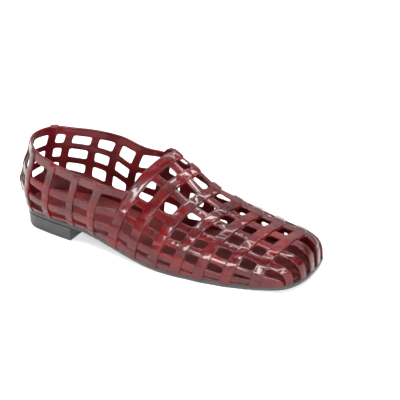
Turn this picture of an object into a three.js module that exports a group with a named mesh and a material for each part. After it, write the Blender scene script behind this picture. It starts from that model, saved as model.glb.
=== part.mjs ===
// A caged leather slip-on sandal for the right foot, in millimetres, +Z up.
// The toe points along +X and the lateral side lies along -Y. The origin lies on the heel's rest
// face, under the shoe's long axis, so the floor is z = 0.
import * as THREE from "three";
import { mergeVertices } from "three/addons/utils/BufferGeometryUtils.js";

// Sole and heel
const soleLength = 259;
const ballWidth = 82;
const toeSlant = 0.1; // how far the medial side runs ahead, per mm across
const toeSlantStart = 0.75; // from this share of the sole's length on
const heelHeight = 13.5;
const heelLength = 57;
const heelSlant = 0.16; // the heel's breast runs forward on the medial side
const heelInset = 0.3;
const heelTaper = 0.7;
const heelCentre = 31; // from the back of the sole to the origin
const soleThickness = 4;
const soleEdge = 0.8; // the sole's lower edge is cut away by this much
const toeSpring = 5;
const insoleThickness = 2;
const insoleClearance = 1.6;
const seatGap = 0.3; // between pieces that lie on each other

// Upper
const instepHeight = 74; // of the throat hoop above the feather line
const quarterHeight = 56; // of the collar above the feather line
const strapThickness = 1.4;
const hoopRaise = 1.2;
const featherInset = 1.4; // from the sole's edge to the inside of the upper
const hoopWidth = 9.2;
const postWidth = 6.6;
const strapWidth = 6.6;
const collarWidth = { lateral: 9.2, medial: 7 };
const featherBand = 8;
const leastGap = 0.4; // between the edges of straps that meet

const middleShare = 0.49; // the centre strap's place on the girth of a hoop
const leanShare = 0.2; // of a hoop's lean that follows its height, the rest follows its way across

const sides = { lateral: -1, medial: 1 };

// Rows of numbers as objects with named columns
const table = (columns, rows) => {
  const names = columns.split(" ");
  return rows.map((row) => Object.fromEntries(names.map((name, i) => [name, row[i]])));
};

// Half widths of the sole as shares of the ball width, from the back to the toe
const soleRows = table("along lateral medial", [
  [0.038, 0.215, 0.215],
  [0.097, 0.275, 0.275],
  [0.182, 0.32, 0.3],
  [0.27, 0.352, 0.3],
  [0.338, 0.385, 0.295],
  [0.416, 0.43, 0.31],
  [0.514, 0.482, 0.36],
  [0.63, 0.488, 0.44],
  [0.727, 0.47, 0.48],
  [0.805, 0.432, 0.475],
  [0.883, 0.385, 0.44],
  [0.937, 0.343, 0.415],
  [0.968, 0.285, 0.4],
  [0.99, 0.175, 0.335],
]);

// The underside of the sole: its rise as shares of the heel height and of the toe spring
const profileRows = table("along arch spring", [
  [0, 1, 0],
  [0.237, 1, 0],
  [0.297, 0.83, 0],
  [0.378, 0.5, 0],
  [0.464, 0.2, 0],
  [0.543, 0.04, 0],
  [0.591, 0, 0],
  [0.767, 0, 0],
  [0.844, 0, 0.1],
  [0.922, 0, 0.45],
  [1.02, 0, 1.1],
]);

// Posts of the quarter, from the back forward: where each stands on the sole, its height as a
// share of the quarter height, and how far it leans forward, flares and bulges out, in shares of
// that height. first and second are the places of its two long straps and wide their width as a
// share of strapWidth; band is the feather band's width as a share of featherBand.
const postColumns = "along height lean flare bulge first second band wide";
const [backPost] = table(postColumns, [
  [0, 1.1, 0, -0.1, 0.1, 0.33, 0.6, 1.4, 0.9],
]);
const postRows = {
  lateral: table(postColumns, [
    [0.047, 1.08, 0.13, -0.02, 0.07, 0.29, 0.55, 0.8, 0.95],
    [0.122, 1.01, 0.2, 0.08, 0.1, 0.265, 0.53, 0.65, 1.15],
    [0.211, 0.95, 0.22, 0.11, 0.07, 0.245, 0.515, 0.6, 1.3],
    [0.291, 0.96, 0.25, 0.1, 0.07, 0.24, 0.51, 0.6, 1.25],
  ]),
  medial: table(postColumns, [
    [0.039, 1.08, 0.12, 0, 0.11, 0.42, 0.67, 2.2, 0.82],
    [0.071, 1.07, 0.22, 0.06, 0.08, 0.455, 0.7, 2.35, 0.82],
    [0.161, 1.08, 0.21, 0.09, 0.07, 0.46, 0.7, 2.1, 0.82],
    [0.238, 1.07, 0.25, 0.09, 0.05, 0.42, 0.67, 1.6, 0.82],
    [0.314, 1.06, 0.26, 0.06, 0.05, 0.35, 0.61, 1.2, 0.82],
  ]),
};

// Hoops from the throat to the toe. lateral and medial are their feet along the sole; crown, lift
// and across place the top along the sole, in shares of the instep height and ball width; square
// and farSquare are the powers of the arch's lateral and medial half, and bulge its swell.
const hoopRows = table("lateral medial crown lift across square farSquare bulge", [
  [0.367, 0.426, 0.517, 1.02, 0.19, 1.8, 3, 0.03],
  [0.441, 0.504, 0.582, 0.89, 0.2, 1.9, 3, 0.03],
  [0.519, 0.584, 0.657, 0.73, 0.16, 2, 2.3, 0.03],
  [0.599, 0.669, 0.729, 0.615, 0.165, 2.1, 2.2, 0.025],
  [0.677, 0.747, 0.795, 0.525, 0.165, 2.2, 2.2, 0.02],
  [0.766, 0.83, 0.866, 0.44, 0.16, 2.3, 2.3, 0.015],
  [0.858, 0.917, 0.937, 0.365, 0.15, 2.4, 2.4, 0.01],
]);

// Middles of the long straps on each hoop, as shares of the way from the feather line to the
// crown, and the feather band's width as a share of featherBand
const strapColumns = "s1 s2 s3 s4 band";
const strapRows = {
  lateral: table(strapColumns, [
    [0.15, 0.32, 0.51, 0.79, 0.85],
    [0.15, 0.335, 0.535, 0.8, 0.8],
    [0.16, 0.345, 0.55, 0.8, 0.7],
    [0.15, 0.345, 0.55, 0.785, 0.6],
    [0.11, 0.33, 0.545, 0.78, 0.4],
    [0.07, 0.26, 0.52, 0.76, 0.2],
    [0.04, 0.16, 0.43, 0.7, 0.1],
  ]),
  medial: table(strapColumns, [
    [0.24, 0.47, 0.69, 0.86, 1],
    [0.22, 0.43, 0.65, 0.84, 0.9],
    [0.2, 0.4, 0.61, 0.82, 0.8],
    [0.17, 0.36, 0.57, 0.79, 0.6],
    [0.14, 0.32, 0.54, 0.77, 0.5],
    [0.1, 0.27, 0.5, 0.74, 0.3],
    [0.06, 0.19, 0.43, 0.7, 0.1],
  ]),
};

// Feet of the toe straps, as shares of the run round the toe from the last hoop's lateral foot to
// its medial foot
const toeFeet = { s3: 0.275, s4: 0.41, s5: 0.535, s4Medial: 0.65, s3Medial: 0.765 };
const cornerGap = 1; // between the corner band's end and the first toe strap
const bandStep = 0.6; // between the ends of the corner band's row edges
const toeCrownPull = 0.46; // how far a toe strap runs on before it turns down
const toeWallPull = 0.8; // how much of its height the toe's wall stands up

// Steps of the mesh
const outlineSteps = 64;
const crossSteps = 48;
const splineSteps = 10;
const baySteps = 2;
const heelBaySteps = 3;
const heelBays = 2;
const toeSteps = 5;
const toeCurveSteps = 24;
const heelSteps = 16;
const breastStep = 0.1;
const mergeReach = 0.001;
const halvings = 40; // of a search along a line
const slopeReach = 1; // of the points that give a row's direction
const hemGapEnd = 3; // the bay from which on the lowest gap is closed

// Curves and tables

function splinePoints(points, steps, first = 0, last = points.length - 1) {
  const curve = new THREE.CatmullRomCurve3(points, false, "centripetal");
  const made = [];
  for (let i = first; i < last; i++) {
    for (let k = 0; k < steps; k++) {
      made.push(curve.getPoint((i + k / steps) / (points.length - 1)));
    }
  }
  made.push(points[last].clone());
  return made;
}

// A run of points that is read by the distance along it
function track(points) {
  const reach = [0];
  for (let i = 1; i < points.length; i++) {
    reach.push(reach[i - 1] + points[i].distanceTo(points[i - 1]));
  }
  const at = (distance) => {
    let i = 1;
    while (i < points.length - 1 && reach[i] < distance) i++;
    const share = (distance - reach[i - 1]) / (reach[i] - reach[i - 1]);
    return points[i - 1].clone().lerp(points[i], share);
  };
  return { at, reach, length: reach[reach.length - 1] };
}

// A smooth reading of one column of a table between its rows
function readTable(rows, column, along) {
  let i = 1;
  while (i < rows.length - 1 && rows[i].along < along) i++;
  const slope = (k) => {
    const a = rows[Math.max(k - 1, 0)];
    const b = rows[Math.min(k + 1, rows.length - 1)];
    return (b[column] - a[column]) / (b.along - a.along);
  };
  const [from, to] = [rows[i - 1], rows[i]];
  const span = to.along - from.along;
  const t = THREE.MathUtils.clamp((along - from.along) / span, 0, 1);
  const flat = from[column] === to[column];
  const [m0, m1] = flat ? [0, 0] : [slope(i - 1) * span, slope(i) * span];
  const t2 = t * t;
  const t3 = t2 * t;
  return (
    (2 * t3 - 3 * t2 + 1) * from[column] +
    (t3 - 2 * t2 + t) * m0 +
    (3 * t2 - 2 * t3) * to[column] +
    (t3 - t2) * m1
  );
}

// Sole

const alongOf = (x) => (x + heelCentre) / soleLength;

function soleUnder(x) {
  const along = alongOf(x);
  const arch = heelHeight * readTable(profileRows, "arch", along);
  return arch + toeSpring * readTable(profileRows, "spring", along);
}

const soleTop = (x) => soleUnder(x) + soleThickness;

// One side of the sole's outline, from the middle of the back to the middle of the toe
function sidePoints(side) {
  const lead = (along) => THREE.MathUtils.smoothstep(along, toeSlantStart, 1) * toeSlant;
  const place = (row, sign, across) => {
    const y = sign * across * ballWidth;
    return new THREE.Vector3(row.along * soleLength - heelCentre + lead(row.along) * y, y, 0);
  };
  const other = side === "lateral" ? "medial" : "lateral";
  const end = soleRows[soleRows.length - 1];
  const back = new THREE.Vector3(-heelCentre, 0, 0);
  const toe = new THREE.Vector3(soleLength - heelCentre, 0, 0);
  const points = [place(soleRows[0], sides[other], soleRows[0][other]), back];
  for (const row of soleRows) points.push(place(row, sides[side], row[side]));
  points.push(toe, place(end, sides[other], end[other]));
  return splinePoints(points, splineSteps, 1, points.length - 2);
}

// The same side, moved inward
function insetSide(side, inset) {
  const points = sidePoints(side);
  const moved = points.map((p, i) => {
    const a = points[Math.max(i - 1, 0)];
    const b = points[Math.min(i + 1, points.length - 1)];
    const tangent = b.clone().sub(a);
    const atEnd = i === 0 || i === points.length - 1;
    const inward = atEnd
      ? new THREE.Vector3(i === 0 ? 1 : -1, 0, 0)
      : new THREE.Vector3(sides[side] * tangent.y, -sides[side] * tangent.x, 0).normalize();
    return p.clone().addScaledVector(inward, inset);
  });
  return track(moved);
}

const feather = {
  lateral: insetSide("lateral", featherInset),
  medial: insetSide("medial", featherInset),
};

const onSeat = (p) => p.setZ(soleTop(p.x) + seatGap);

// The distance along one side of the feather line at a share of the sole's length
function featherReach(side, along) {
  const x = along * soleLength - heelCentre;
  let low = 0;
  let high = feather[side].length;
  for (let i = 0; i < halvings; i++) {
    const middle = (low + high) / 2;
    if (feather[side].at(middle).x < x) low = middle;
    else high = middle;
  }
  return low;
}

// A closed ring of points round the sole, at equal steps
function ring(inset, steps) {
  const made = [];
  const halves = { lateral: insetSide("lateral", inset), medial: insetSide("medial", inset) };
  for (let i = 0; i < steps; i++) made.push(halves.lateral.at((i / steps) * halves.lateral.length));
  for (let i = 0; i < steps; i++) made.push(halves.medial.at((1 - i / steps) * halves.medial.length));
  return made;
}

// A closed mesh from points and faces of three or four corners; its corners are merged by place
function solid(name, triangles, material) {
  const raw = new THREE.BufferGeometry();
  const values = new Float32Array(triangles.length * 9);
  triangles.forEach((t, i) => t.forEach((p, k) => values.set([p.x, p.y, p.z], i * 9 + k * 3)));
  raw.setAttribute("position", new THREE.BufferAttribute(values, 3));
  const geometry = mergeVertices(raw, mergeReach);
  geometry.computeVertexNormals();
  const mesh = new THREE.Mesh(geometry, material);
  mesh.name = name;
  return mesh;
}

const quad = (a, b, c, d) => [
  [a, b, c],
  [a, c, d],
];

// A slab between two surfaces over a closed ring that is symmetric in its count about the axis
function slab(name, rings, material) {
  const faces = [];
  const count = rings[0].length;
  const half = count / 2;
  rings.slice(1).forEach((upper, level) => {
    const lower = rings[level];
    for (let i = 0; i < count; i++) {
      const j = (i + 1) % count;
      faces.push(...quad(lower[i], lower[j], upper[j], upper[i]));
    }
  });
  const cap = (points, up) => {
    for (let i = 0; i < half; i++) {
      const [a, b] = [points[i], points[i + 1]];
      const [c, d] = [points[(count - i - 1) % count], points[(count - i) % count]];
      const strip = i === 0 ? [[a, b, c]] : i === half - 1 ? [[a, b, d]] : quad(a, b, c, d);
      for (const t of strip) faces.push(up ? t : [...t].reverse());
    }
  };
  cap(rings[0], false);
  cap(rings[rings.length - 1], true);
  return solid(name, faces, material);
}

const raised = (points, height) => points.map((p) => new THREE.Vector3(p.x, p.y, height(p.x)));

function outsole(material) {
  const under = raised(ring(soleEdge, outlineSteps), soleUnder);
  const lower = raised(ring(0, outlineSteps), (x) => soleUnder(x) + soleEdge);
  const upper = raised(ring(0, outlineSteps), soleTop);
  return slab("outsole", [under, lower, upper], material);
}

function insole(material) {
  const inset = featherInset + insoleClearance;
  const base = (x) => soleTop(x) + seatGap;
  const points = ring(inset, outlineSteps);
  const top = raised(points, (x) => base(x) + insoleThickness);
  return slab("insole", [raised(points, base), top], material);
}

// The heel block follows the sole's outline back from a slanted breast
function heel(material) {
  const shrink = (inset, z) => {
    const made = [];
    for (const side of ["lateral", "medial"]) {
      const line = insetSide(side, inset);
      const run = [];
      let far = 0;
      const breast = (p) => heelLength - heelCentre + heelSlant * p.y - inset;
      while (line.at(far).x < breast(line.at(far))) far += breastStep;
      for (let i = 0; i <= heelSteps; i++) run.push(line.at((i / heelSteps) * far).setZ(z));
      if (side === "lateral") made.push(...run);
      else made.push(...run.reverse().slice(0, -1));
    }
    return made;
  };
  const low = shrink(heelInset + heelTaper, 0);
  const high = shrink(heelInset, heelHeight - seatGap);
  const faces = [];
  const count = low.length;
  for (let i = 0; i < count; i++) {
    const j = (i + 1) % count;
    faces.push(...quad(low[i], low[j], high[j], high[i]));
  }
  const centre = (points, z) => {
    const x = points.reduce((sum, p) => sum + p.x, 0) / count;
    return new THREE.Vector3(x, 0, z);
  };
  const [bottom, top] = [centre(low, 0), centre(high, heelHeight - seatGap)];
  for (let i = 0; i < count; i++) {
    const j = (i + 1) % count;
    faces.push([bottom, low[j], low[i]], [top, high[i], high[j]]);
  }
  return solid("heel", faces, material);
}

// Upper

// They bring the highest value of a hoop's swell and of a post's bulge to 1
const swellScale = (3 * Math.sqrt(3)) / 2;
const bulgeScale = 27 / 4;

// The arch of a hoop over the foot, inside its wall, from the lateral foot to the medial one
function archOf(hoop) {
  const left = onSeat(feather.lateral.at(featherReach("lateral", hoop.lateral)));
  const right = onSeat(feather.medial.at(featherReach("medial", hoop.medial)));
  const across = hoop.across * ballWidth;
  const x = hoop.crown * soleLength - heelCentre;
  const top = soleTop(x) + seatGap + hoop.lift * instepHeight;
  const made = [];
  for (let i = 0; i <= crossSteps; i++) {
    const angle = (i / crossSteps) * Math.PI;
    const near = i < crossSteps / 2;
    const power = 2 / (near ? hoop.square : hoop.farSquare);
    const out = Math.abs(Math.cos(angle)) ** power;
    const up = Math.sin(angle) ** power;
    const foot = near ? left : right;
    const swell = swellScale * Math.sin(angle) * Math.cos(angle) ** 2 * hoop.bulge * ballWidth;
    const lean = THREE.MathUtils.lerp(1 - out, up, leanShare);
    const y = THREE.MathUtils.lerp(across, foot.y, out) + Math.sign(foot.y) * swell;
    made.push(new THREE.Vector3(
      THREE.MathUtils.lerp(foot.x, x, lean),
      y,
      THREE.MathUtils.lerp(foot.z, top, up),
    ));
  }
  return made;
}

// A post of the quarter, inside its wall, from the feather line to the collar's edge
function postOf(post, side) {
  const reach = featherReach(side, post.along);
  const foot = onSeat(feather[side].at(reach));
  const tangent = feather[side].at(reach + 1).sub(feather[side].at(reach)).normalize();
  const outward = new THREE.Vector3(tangent.y, -tangent.x, 0).multiplyScalar(-sides[side]);
  if (post.along === 0) outward.set(-1, 0, 0);
  const height = post.height * quarterHeight;
  const made = [];
  for (let i = 0; i <= crossSteps / 2; i++) {
    const s = i / (crossSteps / 2);
    const out = post.bulge * bulgeScale * s * (1 - s) ** 2 + post.flare * s * s;
    const p = foot.clone().addScaledVector(outward, out * height);
    p.addScaledVector(tangent, post.lean * s * s * height);
    p.z += height * s;
    made.push(p);
  }
  return made;
}

// Edges of the feather band and the long straps on one column, from the feather line up
const edgesOf = (middle, width) => [middle - width / 2, middle + width / 2];

function postEdges(post, side, height) {
  return [
    0,
    post.band * featherBand,
    ...edgesOf(post.first * height, post.wide * strapWidth),
    ...edgesOf(post.second * height, post.wide * strapWidth),
    height - collarWidth[side],
    height,
  ];
}

// The same on half of a hoop, with the upper straps; closed gaps shrink to the least one
function hoopEdges(row, half) {
  const edges = [0, row.band * featherBand];
  for (const key of ["s1", "s2", "s3", "s4"]) {
    edges.push(...edgesOf(row[key] * half, strapWidth));
  }
  for (let i = 1; i < edges.length; i++) edges[i] = Math.max(edges[i], edges[i - 1] + leastGap);
  edges.push(half - strapWidth / 2);
  return edges;
}

const ringRows = 8; // row edges of a side that run on round the quarter
const lastHoop = hoopRows.length - 1;
const halfRows = 11;
const allRows = 2 * halfRows;

// Inside points of every hoop at every strap edge, from the lateral foot to the medial foot
const hoops = hoopRows.map((row, index) => {
  const points = archOf(row);
  const line = track(points);
  const half = middleShare * line.length;
  const lateral = hoopEdges(strapRows.lateral[index], half);
  const medial = hoopEdges(strapRows.medial[index], line.length - half);
  const mirrored = medial.map((d) => line.length - d).reverse();
  return [...lateral, ...mirrored].map((d) => line.at(d));
});

const posts = {};
for (const side of ["lateral", "medial"]) {
  const rows = [backPost, ...postRows[side]];
  posts[side] = rows.map((post) => {
    const line = track(postOf(post, side));
    return postEdges(post, side, line.length).map((d) => line.at(d));
  });
}

// The toe: from the last hoop each strap edge runs on and turns down to the feather line
const runStart = featherReach("lateral", hoopRows[lastHoop].lateral);
const runEnd = featherReach("medial", hoopRows[lastHoop].medial);
const toeRun = feather.lateral.length - runStart + feather.medial.length - runEnd;

function toeFeather(share) {
  const distance = runStart + share * toeRun;
  const past = distance - feather.lateral.length;
  if (past <= 0) return onSeat(feather.lateral.at(distance));
  return onSeat(feather.medial.at(feather.medial.length - past));
}

const cornerFoot = toeFeet.s3 - (strapWidth / 2 + cornerGap) / toeRun;
const medialCorner = toeFeet.s3Medial + (strapWidth / 2 + cornerGap) / toeRun;
const bandEdge = 5; // the row that ends as the top of the band round the toe's corner

const footShares = (() => {
  const bandRows = (corner, direction) => {
    const made = [];
    for (let i = 0; i <= bandEdge; i++) {
      made.push(corner + (direction * (bandEdge - i) * bandStep) / toeRun);
    }
    return made;
  };
  const straps = Object.values(toeFeet).flatMap((foot) => edgesOf(foot, strapWidth / toeRun));
  return [...bandRows(cornerFoot, -1), ...straps, ...bandRows(medialCorner, 1).reverse()];
})();

// A strap edge over the toe, from the last hoop to its foot
function toeCurve(row) {
  const start = hoops[lastHoop][row];
  const end = toeFeather(footShares[row]);
  const run = start.clone().sub(hoops[lastHoop - 1][row]).normalize();
  const span = start.distanceTo(end);
  const rise = Math.max(start.z - end.z, 0);
  const turn = start.clone().addScaledVector(run, toeCrownPull * span);
  const wall = end.clone().setZ(end.z + toeWallPull * rise);
  const curve = new THREE.CubicBezierCurve3(start, turn, wall, end);
  const made = [];
  for (let i = 0; i <= toeCurveSteps; i++) made.push(curve.getPoint(i / toeCurveSteps));
  return made;
}

// The feather line from the last hoop to the corner band's end, at the same steps
function toeHem(row, startShare) {
  const made = [];
  for (let i = 0; i <= toeCurveSteps; i++) {
    made.push(toeFeather(THREE.MathUtils.lerp(startShare, footShares[row], i / toeCurveSteps)));
  }
  return made;
}

// Rows of the corner band lie between the feather line and the band's top edge
function toeLine(row) {
  const fromHem = row < halfRows ? row : allRows - 1 - row;
  if (fromHem > bandEdge) return toeCurve(row);
  const mirror = (i) => (row < halfRows ? i : allRows - 1 - i);
  const hem = toeHem(mirror(0), row < halfRows ? 0 : 1);
  const edge = toeCurve(mirror(bandEdge));
  const column = hoops[lastHoop];
  const height = (i) => column[mirror(i)].distanceTo(column[mirror(0)]);
  const share = height(fromHem) / height(bandEdge);
  return hem.map((p, i) => p.clone().lerp(edge[i], share));
}

// Every row edge of the cage is one track: the ring rows run from the centre back post along one
// side to the toe, and the crown rows from the throat hoop to the toe
const isRing = (row) => row < ringRows || row >= allRows - ringRows;
const sideOf = (row) => (row < halfRows ? "lateral" : "medial");
const toeBay = lastHoop;

// Columns are counted from the throat hoop, 0, so that the posts are below 0, the back post last
const firstColumn = { lateral: -postRows.lateral.length - 1, medial: -postRows.medial.length - 1 };

const tracks = [];
for (let row = 0; row < allRows; row++) {
  const fromHem = row < halfRows ? row : allRows - 1 - row;
  const side = sideOf(row);
  const other = side === "lateral" ? "medial" : "lateral";
  const controls = hoops.map((column) => column[row]);
  if (isRing(row)) {
    controls.unshift(posts[other][1][fromHem], ...posts[side].map((column) => column[fromHem]));
  }
  const points = splinePoints(controls, splineSteps, isRing(row) ? 1 : 0);
  tracks.push(track([...points, ...toeLine(row).slice(1)]));
}

const halfWidthOf = (column) => (column < 0 ? postWidth : hoopWidth) / 2;
const stepsOf = (row, bay) => {
  if (bay === toeBay) return toeSteps;
  return bay < firstColumn[sideOf(row)] + heelBays ? heelBaySteps : baySteps;
};

// The distance along a row of a step in the bay that follows a column
function reachOf(row, bay, step) {
  const line = tracks[row];
  const first = isRing(row) ? firstColumn[sideOf(row)] : 0;
  const mark = (column) => line.reach[(column - first) * splineSteps];
  const end = bay === toeBay ? line.length : mark(bay + 1) - halfWidthOf(bay + 1);
  const steps = stepsOf(row, bay);
  if (step === steps) return end;
  return THREE.MathUtils.lerp(mark(bay) + halfWidthOf(bay), end, step / steps);
}

const rowExists = (row, bay, step) =>
  isRing(row) || bay >= 0 || (bay === -1 && step === stepsOf(row, bay));

// A corner of the cage: its place on the inside of the wall and the two levels above it
const corners = new Map();
function corner(row, bay, step) {
  const key = `${row}:${bay}:${step}`;
  if (corners.has(key)) return corners.get(key);
  const reach = reachOf(row, bay, step);
  const line = tracks[row];
  const inside = line.at(reach);
  const end = bay === toeBay && step === toeSteps;
  const alongWay = line.at(end ? reach : reach + slopeReach).sub(line.at(reach - slopeReach));
  const has = (r) => r >= 0 && r < allRows && rowExists(r, bay, step);
  const place = (r) => tracks[r].at(reachOf(r, bay, step));
  const below = has(row - 1) ? row - 1 : row;
  const above = has(row + 1) ? row + 1 : row;
  const normal = alongWay.cross(place(above).sub(place(below)));
  const atHem = row === 0 || row === allRows - 1 || end;
  if (atHem) normal.z = 0;
  normal.normalize();
  const levels = [0, strapThickness, strapThickness + hoopRaise];
  const raisedTo = levels.map((t) => inside.clone().addScaledVector(normal, t));
  if (atHem) raisedTo.forEach(onSeat);
  const made = { key, levels: raisedTo };
  corners.set(key, made);
  return made;
}

// Whether a bay's cell between two row edges is leather or an open gap
function isStrap(row, bay, step) {
  if (row % 2 === 0) return true;
  const gap = row < halfRows ? (row - 1) / 2 : (allRows - 3 - row) / 2;
  if (gap === 0) return bay >= hemGapEnd;
  if (gap === 1) return bay === toeBay;
  if (gap === 2) return bay === toeBay && step === toeSteps - 1;
  return false;
}

// The cells of the cage: four corners in order round the outside, and whether the cell is raised
function cageCells() {
  const cells = [];
  const add = (raise, ...four) => cells.push({ raise, corners: four });
  const lastRow = allRows - 1;
  for (let row = 0; row < ringRows - 1; row++) {
    const other = lastRow - row;
    const near = (r) => corner(r, firstColumn.lateral, 0);
    const far = (r) => corner(r, firstColumn.medial, 0);
    add(true, far(other), near(row), near(row + 1), far(other - 1));
  }
  for (let row = 0; row < lastRow; row++) {
    const whole = isRing(row) && isRing(row + 1);
    const first = whole ? firstColumn[sideOf(row)] : 0;
    for (let bay = first; bay <= toeBay; bay++) {
      if (bay > firstColumn[sideOf(row)]) {
        const back = [bay - 1, stepsOf(row, bay - 1)];
        const [a, b] = [corner(row, ...back), corner(row, bay, 0)];
        add(true, a, b, corner(row + 1, bay, 0), corner(row + 1, ...back));
      }
      for (let step = 0; step < stepsOf(row, bay); step++) {
        if (!isStrap(row, bay, step)) continue;
        const [a, b] = [corner(row, bay, step), corner(row, bay, step + 1)];
        add(false, a, b, corner(row + 1, bay, step + 1), corner(row + 1, bay, step));
      }
    }
  }
  return cells;
}

// One hollow wall: inner and outer faces of every cell, and a side face where a neighbour is lower
function upper(material) {
  const cells = cageCells();
  const edgeKey = (a, b) => `${a.key}>${b.key}`;
  const level = new Map();
  for (const cell of cells) {
    const top = cell.raise ? 2 : 1;
    cell.corners.forEach((a, i) => level.set(edgeKey(a, cell.corners[(i + 1) % 4]), top));
  }
  const faces = [];
  for (const cell of cells) {
    const top = cell.raise ? 2 : 1;
    const at = (height) => cell.corners.map((c) => c.levels[height]);
    faces.push(...quad(...at(top)), ...quad(...at(0).reverse()));
    cell.corners.forEach((a, i) => {
      const b = cell.corners[(i + 1) % 4];
      const beside = level.get(edgeKey(b, a)) ?? 0;
      for (let h = beside; h < top; h++) {
        faces.push(...quad(a.levels[h], b.levels[h], b.levels[h + 1], a.levels[h + 1]));
      }
    });
  }
  return solid("upper", faces, material);
}

const leather = new THREE.MeshStandardMaterial({ color: 0x6e1620, roughness: 0.3, metalness: 0 });
const lining = new THREE.MeshStandardMaterial({ color: 0x6a3a36, roughness: 0.6, metalness: 0 });
const rubber = new THREE.MeshStandardMaterial({ color: 0x1c1c1c, roughness: 0.55, metalness: 0 });
const stack = new THREE.MeshStandardMaterial({ color: 0x181818, roughness: 0.4, metalness: 0 });

const sandal = new THREE.Group();
sandal.add(heel(stack), outsole(rubber), insole(lining), upper(leather));

export default sandal;
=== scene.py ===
# The looks of a caged leather slip-on sandal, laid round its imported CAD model.
# Lengths in this script are millimetres in the CAD frame: the toe points along +X, the lateral
# side lies along -Y and the floor is z = 0. Meshes are scaled to metres as they are made.
import math

import bmesh
import bpy
import numpy as np
from mathutils import Matrix, Vector


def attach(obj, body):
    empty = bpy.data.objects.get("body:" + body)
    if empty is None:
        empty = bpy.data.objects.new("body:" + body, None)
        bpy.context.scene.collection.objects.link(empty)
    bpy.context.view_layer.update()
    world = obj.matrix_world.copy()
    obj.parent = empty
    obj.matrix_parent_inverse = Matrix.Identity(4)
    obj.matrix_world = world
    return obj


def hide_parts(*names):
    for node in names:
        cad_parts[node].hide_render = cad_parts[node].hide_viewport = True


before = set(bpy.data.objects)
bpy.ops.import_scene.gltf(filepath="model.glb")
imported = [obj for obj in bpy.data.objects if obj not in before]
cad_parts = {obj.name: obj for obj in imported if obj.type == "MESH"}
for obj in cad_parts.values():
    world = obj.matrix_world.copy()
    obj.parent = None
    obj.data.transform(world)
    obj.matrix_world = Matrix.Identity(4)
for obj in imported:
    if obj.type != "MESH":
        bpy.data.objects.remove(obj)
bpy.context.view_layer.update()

MM = 0.001
TINY = 1e-9

# Sole and heel
SOLE_LENGTH = 259
BALL_WIDTH = 82
TOE_SLANT = 0.1
TOE_SLANT_START = 0.75  # where the slant sets in, as a share of the length
HEEL_HEIGHT = 13.5
HEEL_LENGTH = 57
HEEL_SLANT = 0.16
HEEL_CENTRE = 31
SOLE_THICKNESS = 4
TOE_SPRING = 5
INSOLE_THICKNESS = 2
INSOLE_CLEARANCE = 1.6
SEAT_GAP = 0.3

# Upper
INSTEP_HEIGHT = 74
QUARTER_HEIGHT = 56
FEATHER_INSET = 1.4
HOOP_WIDTH = 9.2
POST_WIDTH = 6.6
STRAP_WIDTH = 6.6
COLLAR_WIDTH = {"lateral": 9.2, "medial": 7}
FEATHER_BAND = 8
MIDDLE_SHARE = 0.49  # the middle strap's place on each hoop, as a share of the hoop
LEAN_SHARE = 0.2  # how far a hoop leans by its height instead of by its width
SWELL_SCALE = 2.6  # brings the top of a hoop's swell, sin * cos^2, to 1
BULGE_SCALE = 6.75  # brings the top of a post's bulge, s * (1 - s)^2, to 1

# Levels above the inside of the wall
LINING = 0.5
STRAP_TOP = 1.4
HOOP_TOP = 2.6
HOOP_DIP = 0.4  # how far a hoop or post sinks between the straps that it crosses
WINDOW_RADIUS = 1.9

SIDES = {"lateral": -1, "medial": 1}


def table(columns, *rows):
    """Rows of numbers as dictionaries with named columns."""
    return [dict(zip(columns.split(), row)) for row in rows]


# Half widths of the sole as shares of the ball width, from the back to the toe
SOLE_ROWS = table(
    "along lateral medial",
    (0.038, 0.215, 0.215),
    (0.097, 0.275, 0.275),
    (0.182, 0.32, 0.3),
    (0.27, 0.352, 0.3),
    (0.338, 0.385, 0.295),
    (0.416, 0.43, 0.31),
    (0.514, 0.482, 0.36),
    (0.63, 0.488, 0.44),
    (0.727, 0.47, 0.48),
    (0.805, 0.432, 0.475),
    (0.883, 0.385, 0.44),
    (0.937, 0.343, 0.415),
    (0.968, 0.285, 0.4),
    (0.99, 0.175, 0.335),
)

# The underside of the sole: its rise as shares of the heel height and of the toe spring
PROFILE_ROWS = table(
    "along arch spring",
    (0, 1, 0),
    (0.237, 1, 0),
    (0.297, 0.83, 0),
    (0.378, 0.5, 0),
    (0.464, 0.2, 0),
    (0.543, 0.04, 0),
    (0.591, 0, 0),
    (0.767, 0, 0),
    (0.844, 0, 0.1),
    (0.922, 0, 0.45),
    (1.02, 0, 1.1),
)

# Posts of the quarter, from the back forward: their foot as a share of the sole's length, their
# height as one of the quarter height, their shape and the two straps that cross them as shares of
# the post's own height, the band's width and the straps' width as shares of the named widths
POST_COLUMNS = "along height lean flare bulge first second band wide"
BACK_POST = table(POST_COLUMNS, (0, 1.1, 0, -0.1, 0.1, 0.33, 0.6, 1.4, 0.9))[0]
POST_ROWS = {
    "lateral": table(
        POST_COLUMNS,
        (0.047, 1.08, 0.13, -0.02, 0.07, 0.29, 0.55, 0.8, 0.95),
        (0.122, 1.01, 0.2, 0.08, 0.1, 0.265, 0.53, 0.65, 1.15),
        (0.211, 0.95, 0.22, 0.11, 0.07, 0.245, 0.515, 0.6, 1.3),
        (0.291, 0.96, 0.25, 0.1, 0.07, 0.24, 0.51, 0.6, 1.25),
    ),
    "medial": table(
        POST_COLUMNS,
        (0.039, 1.08, 0.12, 0, 0.11, 0.42, 0.67, 2.2, 0.82),
        (0.071, 1.07, 0.22, 0.06, 0.08, 0.455, 0.7, 2.35, 0.82),
        (0.161, 1.08, 0.21, 0.09, 0.07, 0.46, 0.7, 2.1, 0.82),
        (0.238, 1.07, 0.25, 0.09, 0.05, 0.42, 0.67, 1.6, 0.82),
        (0.314, 1.06, 0.26, 0.06, 0.05, 0.35, 0.61, 1.2, 0.82),
    ),
}

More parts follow.
